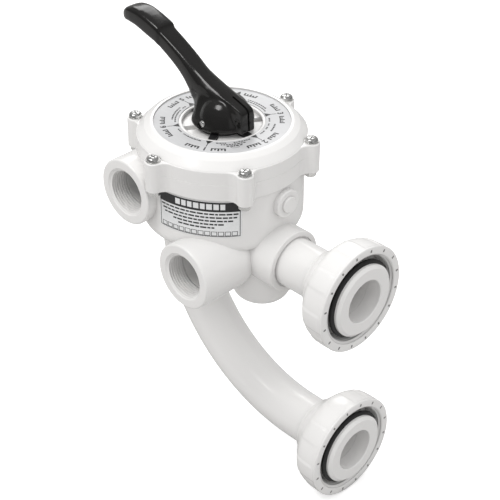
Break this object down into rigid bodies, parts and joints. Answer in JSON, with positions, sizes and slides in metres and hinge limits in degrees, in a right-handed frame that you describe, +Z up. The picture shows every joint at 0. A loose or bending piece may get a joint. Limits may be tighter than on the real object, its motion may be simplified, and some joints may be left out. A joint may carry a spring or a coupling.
{
  "type": "multiport valve",
  "caption": "Side-mount multiport valve: round body with bolted lid and dial, raised cam lever, threaded ports, and two side unions, the lower one on a bent tube.",
  "frame": {"origin": "on the axis of the upper union, in the plane of its nut's front rim", "axes": "+Z up, along the spindle, which stands at x = -194 mm, +X out of both unions, -Y out of the two front threaded ports"},
  "size_m": [0.3428, 0.2012, 0.4515],
  "materials": {
    "white_body": "moulded white plastic, semi-gloss",
    "white_pipe": "extruded white PVC, semi-gloss",
    "white_nut": "moulded white plastic, semi-gloss",
    "black_rubber": "smooth black seal rubber",
    "grey_gasket": "moulded gasket rubber",
    "stainless": "stainless steel, turned and tumbled",
    "spring_steel": "drawn stainless wire",
    "dial_foil": "brushed silver foil with black print",
    "label_film": "printed white film",
    "black_plastic": "black moulded plastic, satin",
    "black_gloss": "black moulded plastic, glossy",
    "dark_rotor": "glass-filled black plastic, satin"
  },
  "bodies": {
    "housing": {"valve_body": "white_body", "lid": "white_body", "lid_o_ring": "black_rubber", "lid_washers": "stainless", "lid_screws": "stainless", "lid_nuts": "stainless", "dial_plate": "dial_foil", "cam_plate": "black_plastic", "spider_gasket": "grey_gasket", "gauge_plug": "white_nut", "upper_pipe": "white_pipe", "upper_tailpiece": "white_pipe", "upper_union_o_ring": "black_rubber", "lower_tailpiece": "white_pipe", "lower_union_o_ring": "black_rubber", "lower_tube": "white_pipe", "body_label": "label_film"},
    "upper_nut": {"upper_union_nut": "white_nut"},
    "lower_nut": {"lower_union_nut": "white_nut"},
    "turning": {"handle_washer": "stainless", "spring_top_washer": "stainless", "rotor_spring": "spring_steel"},
    "rotor": {"rotor": "dark_rotor", "stem_o_rings": "black_rubber", "handle_pin": "stainless", "spring_foot_washer": "stainless"},
    "handle": {"handle": "black_gloss"}
  },
  "joints": [
    {"name": "rotor_turn", "type": "hinge", "parent": "housing", "child": "turning", "pos_m": [-0.194, 0, 0.1], "axis": [0, 0, 1], "continuous": true},
    {"name": "rotor_lift", "type": "slide", "parent": "turning", "child": "rotor", "axis": [0, 0, 1], "range_m": [0, 0.006], "deforming": ["rotor_spring"]},
    {"name": "handle_press", "type": "hinge", "parent": "rotor", "child": "handle", "pos_m": [-0.194, 0, 0.125], "axis": [0, -1, 0], "range_deg": [0, 28]},
    {"name": "upper_nut_spin", "type": "hinge", "parent": "housing", "child": "upper_nut", "pos_m": [-0.024, 0, 0], "axis": [1, 0, 0], "continuous": true},
    {"name": "lower_nut_spin", "type": "hinge", "parent": "housing", "child": "lower_nut", "pos_m": [-0.024, 0, -0.1905], "axis": [1, 0, 0], "continuous": true}
  ],
  "couplings": [
    {"joint": "rotor_lift", "follows": "handle_press", "m_per_rad": 0.012278}
  ]
}
